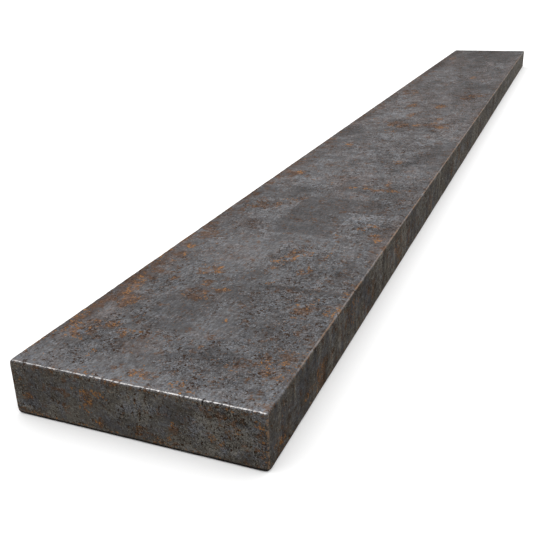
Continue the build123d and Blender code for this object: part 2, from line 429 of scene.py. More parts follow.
def unrolled(block, sides, bake_gap=2.0):
    """Places on a flat square for the corners of every face, for the surface to be painted on.

    The four long sides unroll into one strip, which is cut at the middle of the length into two bands beside
    each other. The two ends lie above the bands. Everything is to one scale.
    """
    x, y, z = block.T
    x, z = x + HALF_WIDTH, z + THICKNESS / 2
    width = 2 * HALF_WIDTH
    across = {"left": z, "top": THICKNESS + x, "right": THICKNESS + width + (THICKNESS - z)}
    across["bottom"] = 2 * THICKNESS + width + (width - x)
    strip = 2 * (width + THICKNESS)
    whole = HALF_LENGTH + THICKNESS + 3 * bake_gap
    places = []
    for name, grid in sides.items():
        faces = grid_faces(grid)
        if name in across:
            far_band = y[faces].mean(axis=1, keepdims=True) > 0
            u = across[name][faces] + bake_gap + far_band * (strip + bake_gap)
            v = np.where(far_band, y[faces], y[faces] + HALF_LENGTH) + bake_gap
        else:
            u = (x if name == "near" else 2 * width - x)[faces] + bake_gap * (1 + 2 * (name == "far"))
            v = z[faces] + HALF_LENGTH + 2 * bake_gap
        places.append(np.stack([u, v], axis=-1))
    return np.concatenate(places) / whole


def mesh_of(name, points, faces):
    """A mesh object from arrays of points in metres and of four-cornered faces, shaded smooth."""
    mesh = bpy.data.meshes.new(name)
    mesh.from_pydata(points, [], faces)
    mesh.shade_smooth()
    piece = bpy.data.objects.new(name, mesh)
    bpy.context.scene.collection.objects.link(piece)
    return piece


def store_field(mesh, name, values):
    """Keeps one number or vector for each point of the mesh under that name, for the material to read."""
    kind, key = ("FLOAT", "value") if values.ndim == 1 else ("FLOAT_VECTOR", "vector")
    mesh.attributes.new(name, kind, "POINT").data.foreach_set(key, values.astype(np.float32).ravel())


# ----------------------------------------------------------------------------------------------------------
# The fields that the material reads, each for every point
# ----------------------------------------------------------------------------------------------------------

# The tone of the scale along the top and the long sides, by millimetres from the near end, and on that end.
TOP_SWELL = ((0, 0.2), (160, 0.1), (375, 0.24), (550, -0.2), (765, -0.35), (900, -0.6))
SIDE_SWELL = ((0, -0.24), (100, -0.12), (250, 0.2), (900, 0.9))
END_TONE = 0.27

# How much tone is taken off in the nick, enough to give it the near black painted shade that stands for the
# shade in it.
NICK_DARKNESS = 6.0


def drawn_out(points):
    """The points with their distance from the near end d made R * ln(1 + d / R), for patterns on the scale.

    It leaves the near end as it is and draws a pattern out along the bar, 2.5 times at the far end.
    """
    along = DRAWN_REACH * np.log1p((points[:, 1] + HALF_LENGTH) / DRAWN_REACH)
    return np.stack([points[:, 0], along, points[:, 2] + THICKNESS / 2], axis=1)


def drawn_ovals(patches, axis):
    """The patches drawn out in the same way, their half sizes along the bar divided by 1 + d / R.

    The axis says which of a patch's two places is the one along the bar.
    """
    ovals = np.array(patches, float)
    pace = 1 + ovals[:, axis] / DRAWN_REACH
    ovals[:, axis + 2] /= pace
    ovals[:, axis] = DRAWN_REACH * np.log(pace)
    return ovals


def on_the_bar(points):
    """What follows from where the points are alone: distances in from the faces, and what they lie on.

    The ragged places are the points moved by noise, further and further along the bar. The hidden points are
    those of the left side, the far end and the underside.
    """
    x, d, z = points[:, 0], points[:, 1] + HALF_LENGTH, points[:, 2] + THICKNESS / 2
    from_top, from_side, from_far = THICKNESS - z, HALF_WIDTH - np.abs(x), 2 * HALF_LENGTH - d
    pattern = drawn_out(points)
    reach = 1.3 * np.stack([1 + d / 400, 1 + d / 120, np.ones_like(d)], axis=1)
    return SimpleNamespace(
        x=x, d=d, z=z, from_top=from_top, from_side=from_side, pattern=pattern,
        far_share=d / (2 * HALF_LENGTH),
        ragged=np.stack([x, d, z], axis=1) + wandering(pattern, size=9.0, seed=100, reach=reach),
        hidden=(x < -HALF_WIDTH + 1.2) | (from_far < 0.9) | (z < 1),
        on_near_end=d < 0.9,
        on_long_side=from_side < 0.3,
        upright=(from_top > 0.5) * 1.0,
        left_line=smooth_step(HALF_WIDTH + x, 1.6, 0.8) * (from_top < 1) * smooth_step(d, 0, 12),
    )


def rust_fields(points, at):
    """Brown stains, from patches and noise, and orange blooms, from noise alone, here as numbers up to 1.

    Noise puts both on the hidden faces and along the edges, and a stained line runs along the left top edge.
    """
    edge = corner_nearness(points, fade=3.0)
    wild = smooth_step(rough_noise(points, size=26.0, seed=200), 0.12, 0.5) * np.where(at.hidden, 0.9, 0.0)
    stained_edge = edge * smooth_step(rough_noise(points, size=12.0, seed=210), -0.15, 0.3)
    blooming_edge = edge * smooth_step(rough_noise(points, size=16.0, seed=220), -0.1, 0.4)
    stain = np.maximum(placed(at.ragged, TOP_STAINS, END_STAINS, SIDE_STAINS, fade=(0.6, 1.2)), wild)
    stain = np.maximum(stain, 0.55 * stained_edge)
    return np.maximum(stain, 0.9 * at.left_line), np.maximum(0.8 * wild, 0.6 * blooming_edge)


def tone_field(points, at):
    """The tone of the scale: a swell along each face, broad noise and patches, lighter by the near edge."""
    along_top, along_side = (np.interp(at.d, *zip(*tones)) for tones in (TOP_SWELL, SIDE_SWELL))
    swell = np.where(at.on_long_side, along_side, along_top)
    swell = np.where(at.on_near_end, END_TONE, swell)
    broad = rough_noise(at.pattern, size=40.0, seed=230, octaves=4, share=0.8) * (0.3 + 0.8 * at.far_share)
    patches = 1.15 * placed(at.ragged, TOP_TONES, END_TONES, SIDE_TONES, fade=(0.8, 1.15))
    # Lighter within 14 mm of the near top edge, and more so to the right.
    lighter_near_edge = smooth_step(at.d, 14.0, 0.5) * (at.from_top < 0.2) * (0.5 + 0.5 * smooth_step(at.x, -60, 40))
    return patches + broad + swell + lighter_near_edge - 0.6 * at.left_line - NICK_DARKNESS * nick_share(points)


def pitted_field(points, at):
    """Where the scale is pitted and flaking: the patches, a little on all sides, and noise where hidden."""
    pitted = placed(at.ragged, TOP_PITTED, END_PITTED, fade=(0.6, 1.3)) + 0.2 * at.upright
    return np.where(at.hidden, 0.3 + rough_noise(points, size=30.0, seed=250), pitted)


def film_field(at):
    """The brown film: thick on the upright sides, the bottom edges and the left top edge, thin on the top."""
    upright_film, top_film = 0.66 + 0.3 * at.far_share, 0.1 + 0.2 * smooth_step(at.d, 60, 200)
    film = placed(at.ragged, TOP_FILMS) + np.where(at.upright > 0, upright_film, top_film)
    return np.clip(film + 0.4 * smooth_step(at.z, 4.0, 0.5) + 0.5 * at.left_line, 0, 1)


def bare_field(points, at):
    """Bare steel: all over the worn band of the near top edge, less of it on the other edges."""
    band = smooth_step(at.d, WORN_BAND + 0.6, WORN_BAND) * smooth_step(at.from_top, 0.3, 0.0)
    band = band * (0.88 + 0.12 * smooth_step(at.x, -50, 20))
    other_edges = 0.5 * corner_nearness(points, fade=0.8)
    return np.maximum(band, other_edges) * (nick_share(points) < 0.3)


def surface_fields(points):
    """Every field by name. The streaks run down the long sides."""
    at = on_the_bar(points)
    stain, bloom = rust_fields(points, at)
    return {
        "pattern": at.pattern,
        "stain": stain,
        "bloom": bloom,
        "tone": tone_field(points, at),
        "far": at.far_share,
        "pitted": pitted_field(points, at),
        "film": film_field(at),
        "streak": smooth_step(at.from_side, 0.8, 0.2),
        "bare": bare_field(points, at),
        "upright": at.upright,
    }


# ----------------------------------------------------------------------------------------------------------
# Shader maths
# ----------------------------------------------------------------------------------------------------------

# How far one octave of the noise node's texture spreads about its mean.
ONE_OCTAVE_SPREAD = 0.126

# The value of an oval that isn't there, too low for any noise to bring it up.
NO_OVAL = -9.0


class Wire:
    """A shader socket that does arithmetic: an expression on wires adds its Math nodes."""

    def __init__(self, sheet, socket):
        self.sheet, self.socket = sheet, socket

    def __add__(self, other):
        return self.sheet.math("ADD", self, other)

    __radd__ = __add__

    def __sub__(self, other):
        return self.sheet.math("SUBTRACT", self, other)

    def __rsub__(self, other):
        return self.sheet.math("SUBTRACT", other, self)

    def __mul__(self, other):
        return self.sheet.math("MULTIPLY", self, other)

    __rmul__ = __mul__

    def __abs__(self):
        return self.sheet.math("ABSOLUTE", self, 0.0)

    def above(self, low, high):
        """0 below low, 1 above high, and smooth in between. With low the greater of the two it falls."""
        settings = {"interpolation_type": "SMOOTHSTEP"}
        return self.sheet.add("ShaderNodeMapRange", settings, {0: self, 1: low, 2: high, 3: 0.0, 4: 1.0})


class MaterialSheet:
    """The nodes of one material or world."""

    def __init__(self, owner):
        owner.use_nodes = True
        self.tree = owner.node_tree
        self.tree.nodes.clear()

    def add(self, kind, settings=None, sockets=None, output=0):
        """Adds a node of that kind, makes its settings, fills its sockets and returns one output."""
        node = self.tree.nodes.new(kind)
        for name, value in (settings or {}).items():
            if name == "stops":
                self.set_stops(node.color_ramp, value)
            else:
                setattr(node, name, value)
        for name, value in (sockets or {}).items():
            if isinstance(value, Wire):
                self.tree.links.new(value.socket, node.inputs[name])
            else:
                node.inputs[name].default_value = value
        return Wire(self, node.outputs[output]) if node.outputs else node

    def set_stops(self, ramp, stops):
        """Puts a colour ramp's stops, as (place, colour) pairs."""
        while len(ramp.elements) < len(stops):
            ramp.elements.new(0.5)
        for element, (place, colour) in zip(ramp.elements, stops):
            element.position, element.color = place, (*colour, 1.0)

    def math(self, operation, first, second):
        return self.add("ShaderNodeMath", {"operation": operation}, {0: first, 1: second})

    def vector(self, operation, *values):
        return self.add("ShaderNodeVectorMath", {"operation": operation}, dict(enumerate(values)))

    def mix(self, share, first, second, blend="MIX"):
        """A colour from first to second, by share."""
        settings = {"data_type": "RGBA", "blend_type": blend, "clamp_factor": True}
        first, second = (c if isinstance(c, Wire) else (*c, 1.0) for c in (first, second))
        return self.add("ShaderNodeMix", settings, {0: share, 6: first, 7: second}, 2)

    def ramp(self, share, stops):
        return self.add("ShaderNodeValToRGB", {"stops": stops}, {0: share})

    def field(self, name):
        """A number kept for each point of the mesh."""
        return self.add("ShaderNodeAttribute", {"attribute_name": name}, output="Fac")

    def strongest(self, *values):
        """The greatest of some numbers."""
        result = values[0]
        for value in values[1:]:
            result = self.math("MAXIMUM", result, value)
        return result

    def parts(self, vector):
        """The three numbers of a vector."""
        node = self.add("ShaderNodeSeparateXYZ", None, {0: vector}).socket.node
        return [Wire(self, socket) for socket in node.outputs]

    def thrice(self, number):
        """A vector with the number in each of its three parts."""
        return self.add("ShaderNodeCombineXYZ", None, {0: number, 1: number, 2: number})

    def stretched(self, place, x, y, z):
        """The place with each axis multiplied, which squeezes or stretches a pattern on it."""
        return self.vector("MULTIPLY", place, (x, y, z))

    def wandered(self, place, size, octaves, reach):
        """The place moved to and fro by noise, by up to about half of the reach."""
        sockets = {"Vector": place, "Scale": 1 / size, "Detail": float(octaves), "Roughness": 0.7}
        noise = self.add("ShaderNodeTexNoise", None, sockets, "Color")
        return self.vector("ADD", place, self.vector("MULTIPLY_ADD", noise, (reach,) * 3, (-reach / 2,) * 3))

    def noise(self, place, size, octaves=3, roughness=0.6, distortion=0.0):
        """Noise about 0 with a spread of 1, whose largest features have about that size.

        The node's noise has a mean of a half, and one octave of it has a spread of 0.126. Octaves are
        averaged with weights 1, r, r^2 and so on, so their spread is 0.126 times the root of the summed
        squares over the sum.
        """
        weights = roughness ** np.arange(octaves)
        spread = ONE_OCTAVE_SPREAD * math.sqrt((weights**2).sum()) / weights.sum()
        sockets = {"Vector": place, "Scale": 1 / size, "Detail": octaves - 1.0, "Roughness": roughness}
        texture = self.add("ShaderNodeTexNoise", None, {**sockets, "Distortion": distortion})
        return (texture - 0.5) * (1 / spread)

    def flakes(self, place, size, octaves, share):
        """Flakes, where a noise is above 0: dark gaps along their edges, partly oxide and partly painted
        shade, light rims, partly wear and partly painted highlight, and the flakes.
        """
        swell = self.noise(place, size, octaves, 0.85)
        gap = swell.above(-0.45, -0.2) * swell.above(0.1, -0.1)
        rim = swell.above(0.0, 0.15) * swell.above(0.5, 0.25)
        return gap * share, rim * share, swell.above(-0.1, 0.1)

    def rectangles(self, first, second, rectangles, soft):
        """The sum of many rectangles, by two coordinates: place, place, half size, half size, strength.

        Each fades over the soft distance at its outline. Three go through each node, one in each part of a
        vector.
        """
        across, along = self.thrice(first), self.thrice(second)
        total = (0.0, 0.0, 0.0)
        for a, b, half_a, half_b, strength in in_threes(rectangles, 0.0):
            away_a = self.vector("ABSOLUTE", self.vector("SUBTRACT", across, tuple(a)))
            away_b = self.vector("ABSOLUTE", self.vector("SUBTRACT", along, tuple(b)))
            away_a = self.vector("SUBTRACT", away_a, tuple(half_a))
            away_b = self.vector("SUBTRACT", away_b, tuple(half_b))
            away = self.vector("MAXIMUM", away_a, away_b)
            share = self.vector("MULTIPLY_ADD", away, (-1 / soft,) * 3, (0.5, 0.5, 0.5))
            share = self.vector("MINIMUM", self.vector("MAXIMUM", share, (0.0, 0.0, 0.0)), (1.0, 1.0, 1.0))
            total = self.vector("MULTIPLY_ADD", share, tuple(strength), total)
        return sum(self.parts(total))

    def ovals(self, first, second, ovals, soft, capped=True):
        """The strongest of many ovals, by two coordinates: place, place, half size, half size, strength.

        With r the distance from an oval's middle in half sizes and h its smaller half size, its value is the
        strength + h / (2 soft) * (1 - r^2), which falls by 1 over the soft distance outside it. Capped, it is
        the strength all over the inside. Three ovals go through each node, one in each part of a vector.
        """
        across, along = self.thrice(first), self.thrice(second)
        field = (NO_OVAL, NO_OVAL, NO_OVAL)
        for a, b, half_a, half_b, strength in in_threes(ovals, NO_OVAL):
            slope = np.minimum(half_a, half_b) / (2 * soft)
            away_a = self.vector("MULTIPLY_ADD", across, tuple(1 / half_a), tuple(-a / half_a))
            away_b = self.vector("MULTIPLY_ADD", along, tuple(1 / half_b), tuple(-b / half_b))
            squared = self.vector("MULTIPLY_ADD", away_a, away_a, self.vector("MULTIPLY", away_b, away_b))
            value = self.vector("MULTIPLY_ADD", squared, tuple(-slope), tuple(strength + slope))
            if capped:
                value = self.vector("MINIMUM", value, tuple(strength))
            field = self.vector("MAXIMUM", value, field)
        return self.strongest(*self.parts(field))


def in_threes(patches, spare_strength):
    """The patches by threes, each of their five numbers an array of three. Spares fill the last three."""
    spares = np.tile([0.0, 0.0, 1.0, 1.0, spare_strength], (-len(patches) % 3, 1))
    return np.concatenate([patches, spares]).reshape(-1, 3, 5).transpose(0, 2, 1)


# ----------------------------------------------------------------------------------------------------------
# Settings
# ----------------------------------------------------------------------------------------------------------


class BarSettings(bpy.types.PropertyGroup):
    corner_radius: FloatProperty(
        name="Rolled corner", description="Radius of the four long edges", default=0.001, unit="LENGTH"
    )
    filed_edge: FloatProperty(
        name="Filed edge", description="Size of the 45 degree break round each sawn end", default=0.0005,
        unit="LENGTH",
    )
    scale_relief: FloatProperty(
        name="Scale relief", description="Height of the waves in the scale", default=0.00006, unit="LENGTH"
    )
    pit_depth: FloatProperty(
        name="Pit depth", description="Depth of the pits under the rust", default=0.00008, unit="LENGTH"
    )
    chip_depth: FloatProperty(
        name="Chip depth", description="Depth of the chips in the edges", default=0.00006, unit="LENGTH"
    )
    corner_steps: IntProperty(name="Corner steps", description="Cells over half of a corner", default=3)
    filed_steps: IntProperty(name="Filed steps", description="Cells over a filed edge", default=2)
    cells_across: IntProperty(name="Cells across", description="Cells over the flat of the width", default=66)
    cells_along: IntProperty(name="Cells along", description="Cells over the length", default=495)
    cells_through: IntProperty(
        name="Cells through", description="Cells over the flat of the thickness", default=15
    )
    near_share: FloatProperty(
        name="Near share", description="Length of a cell at the near end, as a share of the mean", default=0.4
    )


class FinishSettings(bpy.types.PropertyGroup):
    dark_scale: FloatVectorProperty(
        name="Dark scale", description="Mill scale where it is whole", default=(0.0155, 0.0145, 0.0145),
        subtype="COLOR",
    )
    middle_scale: FloatVectorProperty(
        name="Middle scale", description="Mill scale at its commonest", default=(0.064, 0.0625, 0.064),
        subtype="COLOR",
    )
    light_scale: FloatVectorProperty(
        name="Light scale", description="Mill scale where it is thin", default=(0.162, 0.165, 0.174),
        subtype="COLOR",
    )
    cool_sheen: FloatVectorProperty(
        name="Cool sheen", description="Tint of the bluest scale", default=(0.95, 0.99, 1.06), subtype="COLOR"
    )
    brown_film: FloatVectorProperty(
        name="Brown film", description="Tint of the thin rust film on the sides", default=(1.0, 0.915, 0.755),
        subtype="COLOR",
    )
    warm_film: FloatVectorProperty(
        name="Warm film", description="Tint of the thin rust film on the top", default=(1.0, 0.9, 0.85),
        subtype="COLOR",
    )
    rust_tint: FloatVectorProperty(
        name="Rust tint", description="Tint of the scale under rust", default=(1.04, 0.76, 0.60),
        subtype="COLOR",
    )
    dark_rust: FloatVectorProperty(
        name="Dark rust", description="Old rust", default=(0.033, 0.020, 0.013), subtype="COLOR"
    )
    brown_rust: FloatVectorProperty(
        name="Brown rust", description="Rust stains", default=(0.105, 0.054, 0.028), subtype="COLOR"
    )
    orange_rust: FloatVectorProperty(
        name="Orange rust", description="Fresh rust", default=(0.29, 0.138, 0.046), subtype="COLOR"
    )
    tan_edge: FloatVectorProperty(
        name="Tan edge", description="Colour of the near right upright", default=(0.21, 0.138, 0.09),
        subtype="COLOR",
    )
    # Near black painted shade: in the nick, and a painted contact shadow along the bottom edges.
    painted_shade_colour: FloatVectorProperty(
        name="Painted shade", description="Colour in the nick and on the bottom edges",
        default=(0.008, 0.006, 0.005), subtype="COLOR",
    )
    bare_steel: FloatVectorProperty(
        name="Bare steel", description="Steel where an edge is worn", default=(0.66, 0.64, 0.635),
        subtype="COLOR",
    )


class StudioSettings(bpy.types.PropertyGroup):
    camera_place: FloatVectorProperty(
        name="Camera place", description="Where the camera stands", default=(0.11192, -0.60433, 0.13391),
        subtype="TRANSLATION", precision=5,
    )
    camera_azimuth: FloatProperty(
        name="Azimuth", description="Turn from looking along +Y towards -X", default=math.radians(23.1146),
        subtype="ANGLE",
    )
    camera_pitch: FloatProperty(
        name="Pitch", description="How far the camera looks down", default=math.radians(22.5191),
        subtype="ANGLE",
    )
    camera_roll: FloatProperty(
        name="Roll", description="Turn of the camera about its own view", default=math.radians(-1.7983),
        subtype="ANGLE",
    )
    lens: FloatProperty(name="Lens", description="Focal length on a 36 mm frame", default=48.8485)
    floor_size: FloatProperty(
        name="Floor size", description="Length of the floor's sides", default=200.0, unit="LENGTH"
    )
    floor_colour: FloatVectorProperty(
        name="Floor", description="Colour of the floor", default=(0.74, 0.74, 0.74), subtype="COLOR"
    )
    zenith_light: FloatProperty(name="Zenith", description="Brightness of the light overhead", default=2.05)
    horizon_light: FloatProperty(
        name="Horizon", description="Brightness of the light at the horizon", default=1.45
    )
    nadir_light: FloatProperty(name="Below", description="Brightness under the horizon", default=0.05)


# ----------------------------------------------------------------------------------------------------------
# Materials
# ----------------------------------------------------------------------------------------------------------

# The numbers that the mesh keeps for the bar's material.
FIELD_NAMES = ("tone", "stain", "bloom", "film", "far", "pitted", "streak", "bare", "upright")

# How much each part of the texture lightens the scale, and how much it stands out of the surface. In the
# shade, the relief is painted light and shade, the gaps are partly painted shade, the rims partly painted
# highlight and the glints painted highlights.
SHADE_OF = {
    "mottle": 0.045,
    "grain": 0.07,
    "relief": 0.047,
    "strokes": 0.06,
    "crumbs": 0.08,
    "runs": 0.08,
    "gaps": -0.3,
    "rims": 0.22,
    "glints": 0.28,
}
HEIGHT_OF = {"mottle": 0.05, "grain": 0.05, "rims": 0.15, "gaps": -0.25, "pits": -0.3}

# How much of its colour each layer puts over what lies under it. The last is the painted shade in the nick
# and the painted contact shadow along the bottom edges.
COVER = {"pits": 0.65, "stain": 0.9, "flecks": 0.7, "halo": 0.35, "bloom": 0.84, "tan": 0.85, "nick_and_floor_shade": 0.93}

# How rough the scale is, how much rougher rust is, and how rough bare steel is.
SCALE_ROUGHNESS, RUST_ROUGHER, STEEL_ROUGHNESS = 0.8, 0.1, 0.45

# How high a height of 1 stands in the bump, in millimetres.
BUMP_HEIGHT = 0.5

# How much 1 of the tone changes the shade, which goes from 0 for the darkest scale to 1 for the lightest.
SHADE_OF_TONE = 0.2

# How much is taken off a bloom or a plate for each millimetre that a point lies off its face.
OFF_FACE = 0.7


def hand_placed_patches(sheet, at):
    """The patches with a sharp outline: the tone of the sheets, the blooms, and the plates of whole scale.

    A fine noise moves the places, which makes the outlines ragged.
    """
    x, y, _ = sheet.parts(sheet.wandered(at.place, size=14.0, octaves=6, reach=12.0))
    sheets = sheet.rectangles(x, y, drawn_ovals(TOP_SHEETS, axis=1), soft=0.8) * (1 - at.upright)
    x, y, z = sheet.parts(sheet.wandered(at.place, size=3.0, octaves=3, reach=6.0))
    under_top = (THICKNESS - z) * OFF_FACE
    bloom = sheet.strongest(
        sheet.ovals(x, y, drawn_ovals(TOP_BLOOMS, axis=1), soft=0.8) - under_top,
        sheet.ovals(x, z, np.array(END_BLOOMS), soft=0.6) - y * OFF_FACE,
        sheet.ovals(y, z, drawn_ovals(SIDE_BLOOMS, axis=0), soft=0.8) - (HALF_WIDTH - x) * OFF_FACE,
    )
    plates = drawn_ovals([(*plate, 0.0) for plate in TOP_PLATES], axis=1)
    plate = sheet.ovals(x, y, plates, soft=1.0, capped=False) - under_top
    return sheets, bloom, plate


def edge_lines(sheet, at):
    """Thin lines by the bar's edges, from the distances in from its faces, and how much they all bloom.

    Rust runs under the worn near edge, up the near right corner, just above the floor and in runs along the
    long top edges, whose line also gets a painted highlight. Where the bar meets the floor it is painted near
    black, a painted contact shadow. The polish is that of bare steel, which is brighter right of the middle.
    """
    x, y, z = sheet.parts(at.place)
    at_near, from_side, from_top = y.above(1.0, 0.6), HALF_WIDTH - abs(x), THICKNESS - z
    under_edge = at_near * from_top.above(2.6, 1.2) * from_top.above(0.4, 0.7)
    near_corner = at_near * (HALF_WIDTH - x).above(0.6, 0.35) * from_top.above(0.8, 1.3)
    above_floor = at.upright * z.above(1.0, 1.3) * z.above(2.1, 1.6)
    long_edge = from_side.above(0.7, 0.5) * from_top.above(0.55, 0.35) * y.above(5.0, 45.0)
    rust_runs = sheet.noise(at.place, 14.0, 4, 0.8).above(-0.2, 1.2) * y.above(10.0, 30.0)
    bloom = sheet.strongest(
        under_edge * 0.75, near_corner * 0.75, above_floor * 0.85, long_edge * (rust_runs * 0.9 + 0.3)
    )
    polish = x.above(0.0, 14.0) * 0.1 + 0.62
    return SimpleNamespace(
        near_corner=near_corner, long_edge=long_edge, rust_runs=rust_runs, bloom=bloom, polish=polish,
        at_floor=z.above(1.25, 0.85),
    )


def scale_texture(sheet, at):
    """The texture of the scale by its parts, each noise about 0 or a share from 0 to 1.

    The mottle has octaves of about equal strength from 12 mm down. The relief is painted light and shade: a
    grain that looks lit from one side, with no height in the bump. Flakes have a dark gap beside them, partly
    dark oxide and partly painted shade, and a light rim, partly wear and partly painted highlight. Where it
    is rough the grain is stronger.
    """
    rough = sheet.noise(at.place, 16.0, 3, 0.8).above(-1.3, 1.5) * 0.4 + at.pitted * 0.6 + 0.6
    rough = rough * (sheet.noise(at.place, 5.0, 3, 0.8).above(-1.3, 1.3) * 1.1 + 0.5)
    rough = rough * (1 + sheet.math("MINIMUM", at.sheets, 0.0) * 0.8)
    contrast = (at.far * 1.6 + 0.57 + at.pitted * 0.3) * (1 - at.upright * 0.15)
    # A place a little to one side: the relief is the noise here less the noise there, painted light and shade
    # as if lit from that side.
    lit_from = sheet.vector("ADD", at.place, (0.2, -0.13, 0.15))
    flaking = (at.pitted * 0.75 + 0.25).above(0.0, 1.0)
    coarse_share = sheet.noise(at.place, 11.0, 2).above(-0.5, 1.0)
    coarse_gaps, coarse_rims, flakes = sheet.flakes(at.crosswise, 5.0, 5, coarse_share)
    fine_share = sheet.noise(at.place, 9.0, 2).above(-0.8, 0.8)
    fine_gaps, fine_rims, _ = sheet.flakes(at.crosswise, 1.4, 3, fine_share)
    return {
        "mottle": sheet.noise(at.place, 12.0, 5, 0.9, 0.4) * contrast,
        "grain": sheet.noise(at.place, 0.45, 2, 0.9) * rough,
        "relief": (sheet.noise(at.place, 1.5, 4, 0.8) - sheet.noise(lit_from, 1.5, 4, 0.8)) * rough,
        "strokes": sheet.noise(sheet.stretched(at.place, 1.0, 0.35, 1.0), 0.9, 3, 0.8),
        "crumbs": sheet.noise(at.crosswise, 1.3, 3, 0.9) * rough * at.far.above(0.02, 0.16),
        "runs": sheet.noise(sheet.stretched(at.place, 1.0, 1.0, 0.16), 4.0, 4, 0.75) * at.streak,
        "gaps": sheet.strongest(coarse_gaps, fine_gaps) * flaking,
        "rims": sheet.strongest(coarse_rims, fine_rims) * flaking,
        "glints": sheet.noise(at.place, 0.8, 2, 0.8).above(1.3, 2.0) * rough,
        "pits": sheet.noise(at.place, 1.2, 2, 0.7).above(1.2, 1.5) * rough,
        "flakes": flakes,
        "flaking": flaking,
    }


def mixed_by(shares, texture):
    """The sum of the parts of the texture that have a share, each times its share."""
    return sum(texture[name] * share for name, share in shares.items())


def far_streaks(sheet, at):
    """Bands across the top past its near part, with dark cracks where the noise of the bands crosses 0."""
    bands = sheet.noise(sheet.stretched(at.place, 0.3, 1.3, 1.0), 5.0, 5, 0.85)
    cracks = abs(bands).above(0.22, 0.05) * sheet.noise(at.place, 9.0, 3, 0.8).above(-0.2, 0.8)
    beyond = at.far.above(0.15, 0.4) * at.far.above(0.95, 0.7) * (1 - at.upright)
    return (bands * 0.05 - cracks * 0.17) * beyond


def scale_colour(sheet, at, texture, lines, finish):
    """The colour of the scale: dark to light by a sum of tone and texture, then pits, cool sheen and film."""
    blotches = sheet.noise(at.crosswise, 7.0, 6, 0.75).above(-0.25, 0.25) - 0.5
    shade = 0.5 + at.tone * SHADE_OF_TONE + mixed_by(SHADE_OF, texture)
    shade = shade + (texture["flakes"] - 0.5) * 0.08 + at.whole * 0.04
    shade = shade + blotches * (texture["flaking"] * 0.03 + at.far * 0.05 + 0.04)
    # The line along the long top edges is lightened: a painted highlight on their rounding.
    shade = shade + far_streaks(sheet, at) + lines.long_edge * 0.4
    dark_to_light = ((0.0, finish.dark_scale), (0.5, finish.middle_scale), (1.0, finish.light_scale))
    colour = sheet.ramp(shade, dark_to_light)
    colour = sheet.mix(texture["pits"] * COVER["pits"], colour, finish.dark_rust)
    sheen = sheet.noise(at.place, 1.5, 3, 0.9).above(0.2, 2.2) * (1 - at.upright * 0.6)
    colour = sheet.mix(sheet.strongest(sheen, at.whole), colour, finish.cool_sheen, "MULTIPLY")
    film = at.film + sheet.noise(at.place, 8.0, 5, 0.85) * (0.24 + at.upright * 0.07) + texture["runs"] * 0.2
    film_tint = sheet.mix(at.upright, finish.warm_film, finish.brown_film)
    return sheet.mix(film.above(0.0, 1.0) * (1 - at.whole), colour, film_tint, "MULTIPLY")


def rusted(sheet, at, grain, colour, finish):
    """The colour with its rust, and how rusty it is: a tint, flecks of dark rust in it, and orange blooms.

    Each noise passes a mark that the field lowers. The blooms also run along the flakes' edges.
    """
    stain_share = (sheet.noise(at.place, 4.5, 5, 0.8) + at.stain * 2.5).above(1.1, 2.3) * (1 - at.whole)
    colour = sheet.mix(stain_share * COVER["stain"], colour, finish.rust_tint, "MULTIPLY")
    fleck_share = sheet.noise(at.place, 1.4, 3, 0.8).above(0.3, 1.0) * stain_share
    brown = sheet.ramp(0.5 + grain * 0.2, ((0.15, finish.dark_rust), (0.75, finish.brown_rust)))
    colour = sheet.mix(fleck_share * COVER["flecks"], colour, brown)
    flake_edge = abs(sheet.noise(at.crosswise, 5.0, 4, 0.8)).above(0.3, 0.12)
    bloom = sheet.noise(at.place, 1.1, 4, 0.9) * 1.25 + flake_edge * 0.6 + at.bloom * 2.1
    halo, bloom_share = bloom.above(1.8, 3.2), bloom.above(3.15, 3.7)
    orange = sheet.ramp(0.55 + grain * 0.2, ((0.0, finish.brown_rust), (0.85, finish.orange_rust)))
    colour = sheet.mix(halo * COVER["halo"], colour, brown)
    colour = sheet.mix(bloom_share * COVER["bloom"], colour, orange)
    return colour, sheet.strongest(stain_share, bloom_share)


def with_worn_edges(sheet, at, lines, colour, finish):
    """The colour with tan and bare edges and near black painted shade in the nick and along the bottom edges,
    and the share of it that is bare steel.
    """
    tan_share = lines.near_corner * sheet.noise(at.place, 1.1, 3, 0.8).above(-1.3, 1.3)
    colour = sheet.mix(tan_share * COVER["tan"], colour, finish.tan_edge)
    colour = sheet.mix(lines.long_edge * (lines.rust_runs * 0.4 + 0.15), colour, finish.tan_edge)
    # Painted shade: near black along the bottom edges and the underside, a painted contact shadow, and in the
    # nick, where the tone is far below 0.
    painted_shade_share = sheet.strongest(lines.at_floor, at.tone.above(-1.5, -3.5))
    colour = sheet.mix(painted_shade_share * COVER["nick_and_floor_shade"], colour, finish.painted_shade_colour)
    bare_share = (sheet.noise(at.place, 1.0, 3, 0.8) * 0.3 + at.bare * 3.2).above(1.6, 2.3) * (1 - painted_shade_share)
    bright = sheet.noise(at.place, 0.9, 2, 0.8).above(-2.4, 1.4) * lines.polish
    steel = sheet.mix(bright, finish.middle_scale, finish.bare_steel)
    return sheet.mix(bare_share, colour, steel), bare_share


